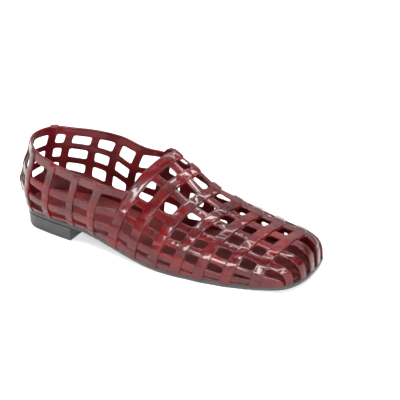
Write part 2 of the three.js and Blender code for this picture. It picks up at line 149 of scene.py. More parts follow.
# Hoops from the throat to the toe: their feet and crown along the sole, and the shape of the arch
HOOP_ROWS = table(
    "lateral medial crown lift across square far_square bulge",
    (0.367, 0.426, 0.517, 1.02, 0.19, 1.8, 3, 0.03),
    (0.441, 0.504, 0.582, 0.89, 0.2, 1.9, 3, 0.03),
    (0.519, 0.584, 0.657, 0.73, 0.16, 2, 2.3, 0.03),
    (0.599, 0.669, 0.729, 0.615, 0.165, 2.1, 2.2, 0.025),
    (0.677, 0.747, 0.795, 0.525, 0.165, 2.2, 2.2, 0.02),
    (0.766, 0.83, 0.866, 0.44, 0.16, 2.3, 2.3, 0.015),
    (0.858, 0.917, 0.937, 0.365, 0.15, 2.4, 2.4, 0.01),
)

# Middles of the long straps on each hoop, as shares of the way from the feather line to the crown
STRAP_COLUMNS = "s1 s2 s3 s4 band"
STRAP_ROWS = {
    "lateral": table(
        STRAP_COLUMNS,
        (0.15, 0.32, 0.51, 0.79, 0.85),
        (0.15, 0.335, 0.535, 0.8, 0.8),
        (0.16, 0.345, 0.55, 0.8, 0.7),
        (0.15, 0.345, 0.55, 0.785, 0.6),
        (0.11, 0.33, 0.545, 0.78, 0.4),
        (0.07, 0.26, 0.52, 0.76, 0.2),
        (0.04, 0.16, 0.43, 0.7, 0.1),
    ),
    "medial": table(
        STRAP_COLUMNS,
        (0.24, 0.47, 0.69, 0.86, 1),
        (0.22, 0.43, 0.65, 0.84, 0.9),
        (0.2, 0.4, 0.61, 0.82, 0.8),
        (0.17, 0.36, 0.57, 0.79, 0.6),
        (0.14, 0.32, 0.54, 0.77, 0.5),
        (0.1, 0.27, 0.5, 0.74, 0.3),
        (0.06, 0.19, 0.43, 0.7, 0.1),
    ),
}

# Feet of the toe straps, as shares of the run round the toe
TOE_FEET = {"s3": 0.275, "s4": 0.41, "s5": 0.535, "s4_medial": 0.65, "s3_medial": 0.765}
CORNER_GAP = 1  # between the corner band and the toe straps beside it
BAND_STEP = 0.6  # between the rows of the corner band at its foot
TOE_CROWN_PULL = 0.46
TOE_WALL_PULL = 0.8

# Rows are the edges of the long straps, counted from the lateral hem over the crown
HALF_ROWS = 11
ALL_ROWS = 2 * HALF_ROWS
RING_ROWS = 8  # rows on each side that run on round the back
COLLAR_ROW = RING_ROWS - 1
LAST_ROW = ALL_ROWS - 1
BAND_EDGE = 5
LAST_HOOP = len(HOOP_ROWS) - 1
TOE_BAY = LAST_HOOP
HEM_GAP_END = 3  # the gap above the feather band is closed from this bay on
LEAST_GAP = 0.4
FIRST_COLUMN = {side: -len(rows) - 1 for side, rows in POST_ROWS.items()}

# Steps of the meshes
ARCH_STEPS = 120
SPLINE_STEPS = 20
TOE_CURVE_STEPS = 40
OUTLINE_STEPS = 10
FINE_OUTLINE_STEPS = 30
HALVINGS = 40


# Curves and tables


def lerp(a, b, t):
    return a + (b - a) * t


def unit(vectors):
    return vectors / np.maximum(np.linalg.norm(vectors, axis=-1, keepdims=True), TINY)


def smoothstep(values, low, high):
    t = np.clip((np.asarray(values, float) - low) / (high - low), 0, 1)
    return t * t * (3 - 2 * t)


def hermite(a, b, slope_a, slope_b, t):
    t2 = t * t
    t3 = t2 * t
    places = (2 * t3 - 3 * t2 + 1) * a + (3 * t2 - 2 * t3) * b
    return places + (t3 - 2 * t2 + t) * slope_a + (t3 - t2) * slope_b


def spline(points, steps, first=0, last=None):
    """A centripetal curve through the points from number first to number last."""
    points = np.asarray(points, float)
    last = len(points) - 1 if last is None else last
    ends = np.vstack([2 * points[0] - points[1], points, 2 * points[-1] - points[-2]])
    t = (np.arange(steps) / steps)[:, None]
    made = []
    for i in range(first, last):
        p0, p1, p2, p3 = ends[i : i + 4]
        d0, d1, d2 = [math.sqrt(np.linalg.norm(q - p)) for p, q in ((p0, p1), (p1, p2), (p2, p3))]
        slope1 = ((p1 - p0) / d0 - (p2 - p0) / (d0 + d1) + (p2 - p1) / d1) * d1
        slope2 = ((p2 - p1) / d1 - (p3 - p1) / (d1 + d2) + (p3 - p2) / d2) * d1
        made.append(hermite(p1, p2, slope1, slope2, t))
    made.append(points[last][None])
    return np.vstack(made)


class Track:
    """A run of points that is read by the distance along it, straight on past its ends."""

    def __init__(self, points):
        self.points = np.asarray(points, float)
        steps = np.linalg.norm(np.diff(self.points, axis=0), axis=1)
        self.reach = np.concatenate([[0], np.cumsum(steps)])
        self.length = self.reach[-1]

    def at(self, distance):
        d = np.asarray(distance, float)
        on = np.stack([np.interp(d, self.reach, self.points[:, k]) for k in range(3)], -1)
        before = np.minimum(d, 0)[..., None] * unit(self.points[1] - self.points[0])
        after = np.maximum(d - self.length, 0)[..., None] * unit(self.points[-1] - self.points[-2])
        return on + before + after


def read_table(rows, column, along):
    """A smooth reading of one column of a table between its rows."""
    xs = np.array([row["along"] for row in rows], float)
    ys = np.array([row[column] for row in rows], float)
    low = np.maximum(np.arange(len(xs)) - 1, 0)
    high = np.minimum(np.arange(len(xs)) + 1, len(xs) - 1)
    slopes = (ys[high] - ys[low]) / (xs[high] - xs[low])
    i = np.clip(np.searchsorted(xs, along), 1, len(xs) - 1)
    span = xs[i] - xs[i - 1]
    t = np.clip((along - xs[i - 1]) / span, 0, 1)
    sloped = ys[i] != ys[i - 1]
    return hermite(ys[i - 1], ys[i], slopes[i - 1] * span * sloped, slopes[i] * span * sloped, t)


# Sole


def sole_under(x):
    along = (np.asarray(x, float) + HEEL_CENTRE) / SOLE_LENGTH
    arch = HEEL_HEIGHT * read_table(PROFILE_ROWS, "arch", along)
    return arch + TOE_SPRING * read_table(PROFILE_ROWS, "spring", along)


def sole_top(x):
    return sole_under(x) + SOLE_THICKNESS


def other_side(side):
    return "medial" if side == "lateral" else "lateral"


def side_points(side, steps=OUTLINE_STEPS):
    """One side of the sole's outline, from the middle of the back to the middle of the toe."""

    def place(row, sign, across):
        y = sign * across * BALL_WIDTH
        lead = float(smoothstep(row["along"], TOE_SLANT_START, 1)) * TOE_SLANT
        return (row["along"] * SOLE_LENGTH - HEEL_CENTRE + lead * y, y, 0)

    other = other_side(side)
    first, end = SOLE_ROWS[0], SOLE_ROWS[-1]
    points = [place(first, SIDES[other], first[other]), (-HEEL_CENTRE, 0, 0)]
    points += [place(row, SIDES[side], row[side]) for row in SOLE_ROWS]
    points += [(SOLE_LENGTH - HEEL_CENTRE, 0, 0), place(end, SIDES[other], end[other])]
    return spline(points, steps, 1, len(points) - 2)


def inset_side(side, inset, steps=OUTLINE_STEPS):
    """The same side, moved inward."""
    points = side_points(side, steps)
    count = np.arange(len(points))
    tangent = points[np.minimum(count + 1, count[-1])] - points[np.maximum(count - 1, 0)]
    sign = SIDES[side]
    inward = unit(np.stack([sign * tangent[:, 1], -sign * tangent[:, 0], 0 * tangent[:, 0]], -1))
    inward[0] = (1, 0, 0)
    inward[-1] = (-1, 0, 0)
    return Track(points + inward * inset)


def on_seat(points):
    seated = np.array(points, float)
    seated[..., 2] = sole_top(seated[..., 0]) + SEAT_GAP
    return seated


FEATHER = {side: inset_side(side, FEATHER_INSET) for side in SIDES}


def feather_reach(side, along):
    """The distance along one side of the feather line at a share of the sole's length."""
    x = along * SOLE_LENGTH - HEEL_CENTRE
    low, high = 0, FEATHER[side].length
    for _ in range(HALVINGS):
        middle = (low + high) / 2
        if FEATHER[side].at(middle)[0] < x:
            low = middle
        else:
            high = middle
    return low


def ring(inset, steps):
    """A closed ring of points round the sole, at equal steps."""
    shares = np.arange(steps) / steps
    lateral = inset_side("lateral", inset, FINE_OUTLINE_STEPS)
    medial = inset_side("medial", inset, FINE_OUTLINE_STEPS)
    return np.vstack([lateral.at(shares * lateral.length), medial.at((1 - shares) * medial.length)])


# Upper: posts, hoops and the edges of the long straps


def arch_of(hoop):
    """The arch of a hoop over the foot, inside its wall, from the lateral foot to the medial one."""
    left = on_seat(FEATHER["lateral"].at(feather_reach("lateral", hoop["lateral"])))
    right = on_seat(FEATHER["medial"].at(feather_reach("medial", hoop["medial"])))
    x = hoop["crown"] * SOLE_LENGTH - HEEL_CENTRE
    top = float(sole_top(x)) + SEAT_GAP + hoop["lift"] * INSTEP_HEIGHT
    angle = np.linspace(0, math.pi, ARCH_STEPS + 1)
    near = angle < math.pi / 2
    power = 2 / np.where(near, hoop["square"], hoop["far_square"])
    out = np.abs(np.cos(angle)) ** power
    up = np.abs(np.sin(angle)) ** power
    foot = np.where(near[:, None], left, right)
    swell = SWELL_SCALE * np.sin(angle) * np.cos(angle) ** 2 * hoop["bulge"] * BALL_WIDTH
    lean = lerp(1 - out, up, LEAN_SHARE)
    y = lerp(hoop["across"] * BALL_WIDTH, foot[:, 1], out) + np.sign(foot[:, 1]) * swell
    return np.stack([lerp(foot[:, 0], x, lean), y, lerp(foot[:, 2], top, up)], -1)


def post_of(post, side):
    """A post of the quarter, inside its wall, from the feather line to the collar's edge."""
    reach = feather_reach(side, post["along"])
    foot = on_seat(FEATHER[side].at(reach))
    tangent = unit(FEATHER[side].at(reach + 1) - FEATHER[side].at(reach))
    outward = np.array([tangent[1], -tangent[0], 0]) * -SIDES[side]
    if post["along"] == 0:
        outward = np.array([-1.0, 0, 0])
    height = post["height"] * QUARTER_HEIGHT
    s = np.linspace(0, 1, ARCH_STEPS // 2 + 1)[:, None]
    out = post["bulge"] * BULGE_SCALE * s * (1 - s) ** 2 + post["flare"] * s * s
    points = foot + outward * out * height + tangent * post["lean"] * s * s * height
    points[:, 2] += height * s[:, 0]
    return points


def edges_of(middle, width):
    return [middle - width / 2, middle + width / 2]


def post_edges(post, side, height):
    return [
        0,
        post["band"] * FEATHER_BAND,
        *edges_of(post["first"] * height, post["wide"] * STRAP_WIDTH),
        *edges_of(post["second"] * height, post["wide"] * STRAP_WIDTH),
        height - COLLAR_WIDTH[side],
        height,
    ]


def hoop_edges(row, half):
    edges = [0, row["band"] * FEATHER_BAND]
    for key in ("s1", "s2", "s3", "s4"):
        edges += edges_of(row[key] * half, STRAP_WIDTH)
    for i in range(1, len(edges)):
        edges[i] = max(edges[i], edges[i - 1] + LEAST_GAP)
    return edges + [half - STRAP_WIDTH / 2]


def hoop_points(index):
    line = Track(arch_of(HOOP_ROWS[index]))
    half = MIDDLE_SHARE * line.length
    lateral = hoop_edges(STRAP_ROWS["lateral"][index], half)
    medial = hoop_edges(STRAP_ROWS["medial"][index], line.length - half)
    return line.at(lateral + [line.length - d for d in reversed(medial)])


def post_points(post, side):
    line = Track(post_of(post, side))
    return line.at(post_edges(post, side, line.length))


HOOPS = [hoop_points(index) for index in range(len(HOOP_ROWS))]
POSTS = {side: [post_points(post, side) for post in [BACK_POST, *POST_ROWS[side]]] for side in SIDES}
RUN_START = feather_reach("lateral", HOOP_ROWS[LAST_HOOP]["lateral"])
RUN_END = feather_reach("medial", HOOP_ROWS[LAST_HOOP]["medial"])
TOE_RUN = FEATHER["lateral"].length - RUN_START + FEATHER["medial"].length - RUN_END


def toe_feather(share):
    distance = RUN_START + share * TOE_RUN
    past = distance - FEATHER["lateral"].length
    if past <= 0:
        return on_seat(FEATHER["lateral"].at(distance))
    return on_seat(FEATHER["medial"].at(FEATHER["medial"].length - past))


def foot_shares():
    """Where every strap edge ends on the feather line round the toe."""
    room = (STRAP_WIDTH / 2 + CORNER_GAP) / TOE_RUN
    lateral = TOE_FEET["s3"] - room
    medial = TOE_FEET["s3_medial"] + room
    steps = [i * BAND_STEP / TOE_RUN for i in range(BAND_EDGE + 1)]
    feet = [lateral - step for step in reversed(steps)]
    for middle in TOE_FEET.values():
        feet += edges_of(middle, STRAP_WIDTH / TOE_RUN)
    return feet + [medial + step for step in steps]


FOOT_SHARES = foot_shares()


def toe_curve(row):
    """A strap edge over the toe, from the last hoop to its foot."""
    start = HOOPS[LAST_HOOP][row]
    end = toe_feather(FOOT_SHARES[row])
    run = unit(start - HOOPS[LAST_HOOP - 1][row])
    turn = start + run * TOE_CROWN_PULL * np.linalg.norm(start - end)
    wall = end + np.array([0, 0, TOE_WALL_PULL * max(start[2] - end[2], 0)])
    t = np.linspace(0, 1, TOE_CURVE_STEPS + 1)[:, None]
    return start * (1 - t) ** 3 + 3 * turn * t * (1 - t) ** 2 + 3 * wall * t * t * (1 - t) + end * t**3


def mirror(row):
    return LAST_ROW - row


def from_hem(row):
    return row if row < HALF_ROWS else mirror(row)


def toe_line(row):
    """Rows of the corner band lie between the feather line and the band's top edge."""
    level = from_hem(row)
    if level > BAND_EDGE:
        return toe_curve(row)
    lateral = row < HALF_ROWS
    hem_row = 0 if lateral else LAST_ROW
    edge_row = BAND_EDGE if lateral else mirror(BAND_EDGE)
    shares = np.linspace(0 if lateral else 1, FOOT_SHARES[hem_row], TOE_CURVE_STEPS + 1)
    hem = np.array([toe_feather(share) for share in shares])
    column = HOOPS[LAST_HOOP]
    height = np.linalg.norm(column[row] - column[hem_row])
    whole = np.linalg.norm(column[edge_row] - column[hem_row])
    return lerp(hem, toe_curve(edge_row), height / whole)


def is_ring(row):
    return from_hem(row) < RING_ROWS


def side_of(row):
    return "lateral" if row < HALF_ROWS else "medial"


def row_track(row):
    side = side_of(row)
    controls = [column[row] for column in HOOPS]
    if is_ring(row):
        level = from_hem(row)
        back = POSTS[other_side(side)][1][level]
        controls = [back, *[column[level] for column in POSTS[side]], *controls]
    points = spline(controls, SPLINE_STEPS, 1 if is_ring(row) else 0)
    return Track(np.vstack([points, toe_line(row)[1:]]))


TRACKS = [row_track(row) for row in range(ALL_ROWS)]


def first_of(row):
    return FIRST_COLUMN[side_of(row)] if is_ring(row) else 0


def half_width(column):
    return (POST_WIDTH if column < 0 else HOOP_WIDTH) / 2


def bay_ends(row, bay):
    """The distances along a row at which the open part of a bay starts and ends."""
    line = TRACKS[row]
    first = first_of(row)
    column = max(bay, first)
    start = line.reach[(column - first) * SPLINE_STEPS] + half_width(column)
    if column == TOE_BAY:
        return start, line.length
    return start, line.reach[(column + 1 - first) * SPLINE_STEPS] - half_width(column + 1)


# The surface of the upper. A place on its inside is a bay, a share of the way through the bay's
# open part, an offset along the shoe from there, and a height counted in rows.


def row_edges(bay, share, offset):
    """Points of every row, for arrays of places. Beside the opening, where the upper rows have
    no leather, they carry on from the collar's edge."""
    made = np.zeros((len(bay), ALL_ROWS, 3))
    bays, index = np.unique(bay, return_inverse=True)
    for row in range(ALL_ROWS):
        ends = np.array([bay_ends(row, int(b)) for b in bays])[index]
        distance = lerp(ends[:, 0], ends[:, 1], share) + offset
        points = TRACKS[row].at(distance)
        if is_ring(row):
            behind = distance < 0
            points[behind] = TRACKS[mirror(row)].at(-distance[behind])
        made[:, row] = points
    on_throat = (bay == -1) & (np.abs(share - 1) < TINY) & (offset > -TINY)
    beside = (bay < 0) & ~on_throat
    for edge, step in ((COLLAR_ROW, 1), (mirror(COLLAR_ROW), -1)):
        rise = made[beside, edge] - made[beside, edge - step]
        for k in range(1, HALF_ROWS - COLLAR_ROW):
            made[beside, edge + k * step] = made[beside, edge] + k * rise
    return made


def surface(bay, share, offset, height):
    """Points on the inside of the wall."""
    net = row_edges(bay, share, offset)
    low = np.clip(np.floor(height), 0, LAST_ROW - 1).astype(int)
    t = (height - low)[:, None]
    pick = np.arange(len(bay))
    a, b = net[pick, low], net[pick, low + 1]
    before, after = net[pick, np.maximum(low - 1, 0)], net[pick, np.minimum(low + 2, LAST_ROW)]

    def gap(p, q):
        return np.maximum(np.linalg.norm(q - p, axis=1, keepdims=True), TINY)

    span, span_before, span_after = gap(a, b), gap(before, a), gap(b, after)
    slope = (b - a) / span
    slope_a = (slope * span_before + (a - before) / span_before * span) / (span + span_before)
    slope_b = (slope * span_after + (after - b) / span_after * span) / (span + span_after)
    slope_a = np.where((low == 0)[:, None], slope, slope_a)
    slope_b = np.where((low == LAST_ROW - 1)[:, None], slope, slope_b)
    return hermite(a, b, slope_a * span, slope_b * span, t)


SLOPE_STEP = 0.6  # along the shoe, for the wall's slope at a place
ROW_STEP = 0.12  # the same across the rows, in rows
HEM_BLEND = 5  # height above the sole in which the wall's normal lies down flat
SEAT_TOUCH = 0.05  # between the sole and the hem


def wall(bay, share, offset, height, level):
    """Points at a level above the inside of the wall."""
    bay, share, offset, height, level = np.broadcast_arrays(bay, share, offset, height, level)
    shape = bay.shape
    flat = [np.ravel(a).astype(float) for a in (bay, share, offset, height, level)]
    bay, share, offset, height, level = flat
    inside = surface(bay, share, offset, height)
    ahead = surface(bay, share, offset + SLOPE_STEP, height)
    along = ahead - surface(bay, share, offset - SLOPE_STEP, height)
    upper = np.clip(height + ROW_STEP, 0, LAST_ROW)
    lower = np.clip(height - ROW_STEP, 0, LAST_ROW)
    across = surface(bay, share, offset, upper) - surface(bay, share, offset, lower)
    normal = unit(np.cross(along, across))
    seat = sole_top(inside[:, 0]) + SEAT_TOUCH
    normal[:, 2] *= smoothstep(inside[:, 2] - seat, 0, HEM_BLEND)
    points = inside + unit(normal) * level[:, None]
    at_hem = (inside[:, 2] - seat) < 2 * SEAT_GAP
    points[:, 2] = np.where(at_hem, sole_top(points[:, 0]) + SEAT_TOUCH, np.maximum(points[:, 2], seat))
    return points.reshape(shape + (3,))


# Meshes

WELD = 0.02
SHARP_ANGLE = 40


def link(name, data):
    obj = bpy.data.objects.new(name, data)
    bpy.context.scene.collection.objects.link(obj)
    return obj


def mesh_object(name, points, faces, material, sharp=SHARP_ANGLE):
    """A mesh in metres from points in millimetres, welded, smooth but for its sharp edges."""
    mesh = bpy.data.meshes.new(name)
    mesh.from_pydata((np.asarray(points) * MM).tolist(), [], faces)
    obj = link(name, mesh)
    weld(mesh)
    mesh.shade_smooth()
    mesh.set_sharp_from_angle(angle=math.radians(sharp))
    mesh.materials.append(material)
    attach(obj, "root")
    return obj


def weld(mesh):
    made = bmesh.new()
    made.from_mesh(mesh)
    bmesh.ops.remove_doubles(made, verts=made.verts, dist=WELD * MM)
    bmesh.ops.dissolve_degenerate(made, edges=made.edges, dist=WELD * MM)
    bmesh.ops.recalc_face_normals(made, faces=made.faces)
    made.to_mesh(mesh)
    made.free()


def tube_object(name, points, material):
    """A closed section swept along a run, from rows of points, capped at both ends."""
    rows, columns = points.shape[:2]
    faces = []
    for i in range(rows - 1):
        for j in range(columns):
            k = (j + 1) % columns
            quad = (i * columns + j, (i + 1) * columns + j, (i + 1) * columns + k, i * columns + k)
            faces.append(quad)
    faces.append(tuple(range(columns)))
    faces.append(tuple((rows - 1) * columns + j for j in reversed(range(columns))))
    return mesh_object(name, points.reshape(-1, 3), faces, material)


# A strap's section: its leather is folded in at both edges, with a shallow line beside the fold
FOLD_POINTS = (0, 0.015, 0.05, 0.1, 0.14, 0.18, 0.24, 0.36, 0.5)
FOLD_RISE = (0.2, 0.62, 0.88, 0.97, 0.9, 0.95, 1, 1.03, 1.04)
BACK_POINTS = (1, 0.75, 0.5, 0.25, 0)


def section():
    """Shares of the way across a strap, and shares of the way from its back to its face."""
    across = np.array([*FOLD_POINTS, *[1 - x for x in reversed(FOLD_POINTS[:-1])], *BACK_POINTS])
    rise = np.array([*FOLD_RISE, *reversed(FOLD_RISE[:-1]), *[0] * len(BACK_POINTS)])
    return across, rise


def spots(first, last, band_steps=5, bay_steps=9, toe_steps=26):
    """Places along the shoe from the middle of one column to the middle of another."""
    made = []
    for bay in range(first, last):
        half, next_half = half_width(bay), half_width(bay + 1)
        made += [(bay, 0, -half * (1 - i / band_steps)) for i in range(band_steps)]
        steps = toe_steps if bay == TOE_BAY else bay_steps
        made += [(bay, i / steps, 0) for i in range(steps)]
        if bay == TOE_BAY:
            made.append((bay, 1, 0))
        else:
            made += [(bay, 1, next_half * i / band_steps) for i in range(band_steps)]
    if last <= TOE_BAY:
        made.append((last - 1, 1, half_width(last)))
    return np.array(made, float)


# Creases of the long straps: the row edge below, the bay, the share of the way through it, the
# slant in mm from edge to edge, the depth and the half width
STRAP_CREASES = table(
    "row bay share slant depth wide",
    (2, -3, 0.35, 1.2, 0.28, 0.9),
    (2, -2, 0.6, -0.8, 0.22, 0.8),
    (4, -2, 0.45, 0.9, 0.25, 0.9),
    (4, -1, 0.3, -1.1, 0.25, 0.8),
    (6, -4, 0.4, 1, 0.2, 0.8),
    (6, -2, 0.55, -1.2, 0.24, 0.9),
    (4, 1, 0.5, 1.1, 0.25, 0.9),
    (6, 1, 0.35, -0.9, 0.24, 0.8),
    (4, 2, 0.62, 0.8, 0.2, 0.7),
    (8, 2, 0.45, 1, 0.22, 0.8),
    (6, 3, 0.5, -1, 0.3, 0.9),
    (8, 3, 0.4, 0.9, 0.3, 0.9),
    (10, 3, 0.55, -0.8, 0.3, 0.9),
    (12, 3, 0.45, 0.9, 0.26, 0.9),
    (6, 4, 0.45, 1.2, 0.28, 0.9),
    (8, 4, 0.6, -1, 0.28, 0.9),
    (10, 4, 0.4, 0.9, 0.3, 0.9),
    (12, 4, 0.5, -0.9, 0.26, 0.9),
    (6, 6, 0.45, 1, 0.25, 1.1),
    (8, 6, 0.5, -1, 0.25, 1.2),
    (10, 6, 0.42, 0.8, 0.25, 1.2),
    (12, 6, 0.5, 0.9, 0.25, 1.2),
)

# Creases of the hoops and posts: the column, the height in rows, the slant in rows from edge to
# edge, the depth and the half width in rows
CROSS_CREASES = table(
    "column height slant depth wide",
    (0, 3.5, 0.25, 0.26, 0.16),
    (0, 7.5, -0.2, 0.22, 0.12),
    (1, 5.4, 0.3, 0.24, 0.15),
    (1, 9.6, -0.15, 0.25, 0.12),
    (2, 3.6, 0.25, 0.26, 0.16),
    (2, 7.5, 0.2, 0.3, 0.12),
    (3, 5.5, -0.25, 0.3, 0.15),
    (3, 9.5, 0.2, 0.32, 0.12),
    (3, 12.5, -0.2, 0.3, 0.14),
    (4, 7.4, 0.2, 0.32, 0.14),
    (4, 11.5, -0.2, 0.3, 0.14),
    (5, 5.5, 0.25, 0.24, 0.15),
    (5, 9.5, -0.2, 0.25, 0.13),
    (6, 7.5, 0.2, 0.24, 0.14),
    (-1, 3.5, 0.2, 0.22, 0.15),
    (-2, 1.6, -0.2, 0.22, 0.15),
    (-3, 3.5, 0.2, 0.2, 0.15),
    (-4, 5.4, -0.2, 0.2, 0.14),
)


RIDGE_HEIGHT = 0.35  # of the ridges beside a crease, as a share of its depth
RIDGE_PLACE = 1.9  # in half widths from the middle of the crease


def trough(distance, wide):
    """A soft trough with a low ridge on each side of it."""
    t = distance / wide
    return np.exp(-t * t) - RIDGE_HEIGHT * np.exp(-((np.abs(t) - RIDGE_PLACE) ** 2))


def strap_dents(row, run, across):
    """How deep the creases of a long strap are at each place of its run."""
    depth = np.zeros((len(run), len(across)))
    for crease in STRAP_CREASES:
        if crease["row"] not in (row, mirror(row + 1)):
            continue
        start, end = bay_ends(row, crease["bay"])
        place = crease["share"] * (end - start)
        here = run[:, 0] == crease["bay"]
        beyond = run[:, 1] * (end - start) + run[:, 2]
        distance = beyond[:, None] - place - crease["slant"] * (across[None, :] - 0.5)
        depth += np.where(here[:, None], crease["depth"] * trough(distance, crease["wide"]), 0)
    return depth


def cross_dents(column, heights, across):
    """How deep the creases of a hoop or post are at each height."""
    depth = np.zeros((len(heights), len(across)))
    for crease in CROSS_CREASES:
        if crease["column"] == column:
            slant = crease["slant"] * (across[None, :] - 0.5)
            distance = heights[:, None] - crease["height"] - slant
            depth += crease["depth"] * trough(distance, crease["wide"])
    return depth


def long_strap(name, low, high, run):
    """A strap along the shoe between two heights in rows, over a run of places."""
    across, rise = section()
    row = int(min(np.max(low), np.max(high)))
    low = np.broadcast_to(low, len(run))[:, None]
    high = np.broadcast_to(high, len(run))[:, None]
    height = lerp(low, high, across[None, :])
    dents = strap_dents(row, run, across) * (rise[None, :] > 0)
    level = lerp(LINING, STRAP_TOP, rise)[None, :] - dents
    return tube_object(name, wall(run[:, 0:1], run[:, 1:2], run[:, 2:3], height, level), LEATHER)


LIFT_BLEND = 0.35  # rows over which a hoop or post comes down from a strap


def crossing(heights, bay):
    """How far a hoop or post is lifted: 1 over a strap, 0 in the middle of an open gap."""
    lifted = np.ones(len(heights))
    for i, height in enumerate(heights):
        row = int(min(math.floor(height), LAST_ROW - 1))
        if row % 2 == 0:
            continue
        gap = (row - 1) // 2 if row < HALF_ROWS else (mirror(row) - 2) // 2
        if gap == 0 and bay >= HEM_GAP_END:
            continue
        t = height - row
        lifted[i] = 1 - float(smoothstep(min(t, 1 - t), 0, LIFT_BLEND))
    return lifted


ROW_STEPS = 7  # mesh steps in each row
FOLD_STEPS = 8
POST_TUCK = 0.9  # how far a post's top sinks under the binding
TUCK_BLEND = 0.25  # rows over which it sinks
EDGE_LEVEL = 0.5  # the middle of the collar's edge, above the inside of the wall

# The back post stands off the heel in a low loop: how far, at what height in rows and over how many
BOW = 1.4
BOW_HEIGHT = 1.75
BOW_REACH = 1.15


def cross_strap(name, column, low, high, width, fold=0, bow=0):
    """A hoop or post: a band across the rows, on top of the long straps. A post's top can fold
    over the collar by an angle, and bow stands the back post off the heel."""
    heights = np.linspace(low, high, int((high - low) * ROW_STEPS) + 1)
    across, rise = section()
    lifted = crossing(heights, column)[:, None]
    top_row = high if high < HALF_ROWS else low
    dents = cross_dents(column, heights, across) * (rise[None, :] > 0)
    stand = bow * np.exp(-(((heights - BOW_HEIGHT) / BOW_REACH) ** 4))[:, None]
    back = lerp(LINING, STRAP_TOP, lifted) + stand
    face = HOOP_TOP - HOOP_DIP * (1 - lifted) + stand
    if column < 0 and not fold:
        edge = np.minimum(np.abs(heights - top_row), 1)[:, None]
        face = face - POST_TUCK * (1 - smoothstep(edge, 0, TUCK_BLEND))
    level = lerp(back, face, rise[None, :]) - dents
    height = np.repeat(heights[:, None], len(across), axis=1)
    if fold:
        angle = np.linspace(0, fold, FOLD_STEPS + 1)[1:, None]
        radius = lerp(STRAP_TOP, HOOP_TOP, rise[None, :]) - EDGE_LEVEL
        collar = COLLAR_WIDTH["lateral" if high < HALF_ROWS else "medial"]
        rise_over = radius * np.sin(angle) / collar
        over_level = EDGE_LEVEL + radius * np.cos(angle)
        if high < HALF_ROWS:
            height = np.vstack([height, high + rise_over])
            level = np.vstack([level, over_level])
        else:
            height = np.vstack([(low - rise_over)[::-1], height])
            level = np.vstack([over_level[::-1], level])
    offset = (across[None, :] - 0.5) * width - half_width(column)
    return tube_object(name, wall(float(column), 0.0, offset, height, level), LEATHER)



# Lining: a lattice of tiles, one for each opening of the cage, with a round-cornered window

TILE_STEPS = 8
WINDOW_MARGIN = 0.3
MOST_MARGIN = 0.2  # as a share of the gap's height
MOST_RADIUS = 0.95  # as a share of half the window
LINING_TOP = 0.45

# A tile from its outline to the window and back: the share of the way, and the level
TILE_RINGS = ((0, 0), (0.5, 0), (0.85, 0), (0.97, 0.03), (1, 0.14), (1, 0.34))
TILE_RINGS += ((0.97, LINING_TOP), (0.5, LINING_TOP), (0, LINING_TOP))


def along_place(u):
    """A place along a bay: below 0 and above 1 it is in mm from the open part's ends."""
    return np.clip(u, 0, 1), np.minimum(u, 0) + np.maximum(u - 1, 0)


def tile_points(bay, u, v, level):
    share, offset = along_place(np.asarray(u, float))
    return wall(float(bay), share, offset, v, level)


def square_ring():
    """Points round a square from -1 to 1, the same number on each side."""
    t = np.linspace(-1, 1, TILE_STEPS + 1)[:-1]
    one = np.ones(TILE_STEPS)
    return np.vstack([np.stack(pair, -1) for pair in ((t, -one), (one, t), (-t, one), (-one, -t))])


def window_ring(bay, first, last, low, high):
    """The window's outline as places and heights, matched to the square's points."""
    u_mid, v_mid = (first + last) / 2, (low + high) / 2
    ends = tile_points(bay, [first, last], [v_mid, v_mid], 0)
    sides = tile_points(bay, [u_mid, u_mid], [low, high], 0)
    wide = np.linalg.norm(ends[1] - ends[0])
    tall = np.linalg.norm(sides[1] - sides[0])
    margin = min(WINDOW_MARGIN, MOST_MARGIN * tall)
    size = np.array([wide / 2 - margin, tall / 2 - margin])
    radius = min(WINDOW_RADIUS, MOST_RADIUS * size.min())
    square = square_ring()
    spread = np.sin(square * math.pi / 2) * size
    inner = np.clip(spread, -(size - radius), size - radius)
    out = spread - inner
    corner = np.abs(out).min(axis=1) > TINY
    spread[corner] = (inner + unit(out) * radius)[corner]
    return u_mid + spread[:, 0] / wide * (last - first), v_mid + spread[:, 1] / tall * (high - low)


class Mesh:
    """Points and faces that are gathered piece by piece."""

    def __init__(self):
        self.points = []
        self.faces = []

    def add(self, points):
        start = sum(len(part) for part in self.points)
        self.points.append(points.reshape(-1, 3))
        return start

    def rings(self, points):
        """Closed rings of points, each joined to the next."""
        points = np.asarray(points)
        start = self.add(points)
        rings, count = points.shape[:2]
        for i in range(rings - 1):
            a = start + i * count
            b = a + count
            for j in range(count):
                k = (j + 1) % count
                self.faces.append((a + j, a + k, b + k, b + j))

    def grid(self, points, flip=False):
        start = self.add(points)
        rows, columns = points.shape[:2]
        for i in range(rows - 1):
            for j in range(columns - 1):
                a = start + i * columns + j
                quad = (a, a + 1, a + columns + 1, a + columns)
                self.faces.append(quad[::-1] if flip else quad)

    def object(self, name, material, sharp=SHARP_ANGLE):
        return mesh_object(name, np.vstack(self.points), self.faces, material, sharp)


def window_tile(mesh, bay, first, last, low, high, gap):
    """A tile with a window: its inside, the rounded rim of the window and its back."""
    square = square_ring()
    outline_u = lerp(first, last, (square[:, 0] + 1) / 2)
    outline_v = lerp(low, high, (square[:, 1] + 1) / 2)
    window_u, window_v = window_ring(bay, *gap)
    points = []
    for share, level in TILE_RINGS:
        u = lerp(outline_u, window_u, share)
        v = lerp(outline_v, window_v, share)
        points.append(tile_points(bay, u, v, level))
    mesh.rings(points)


def whole_tile(mesh, bay, first, last, low, high):
    """A tile with no window."""
    size = TILE_STEPS + 1
    u, v = np.meshgrid(np.linspace(first, last, size), np.linspace(low, high, size))
    mesh.grid(tile_points(bay, u, v, 0))
    mesh.grid(tile_points(bay, u, v, LINING_TOP), flip=True)


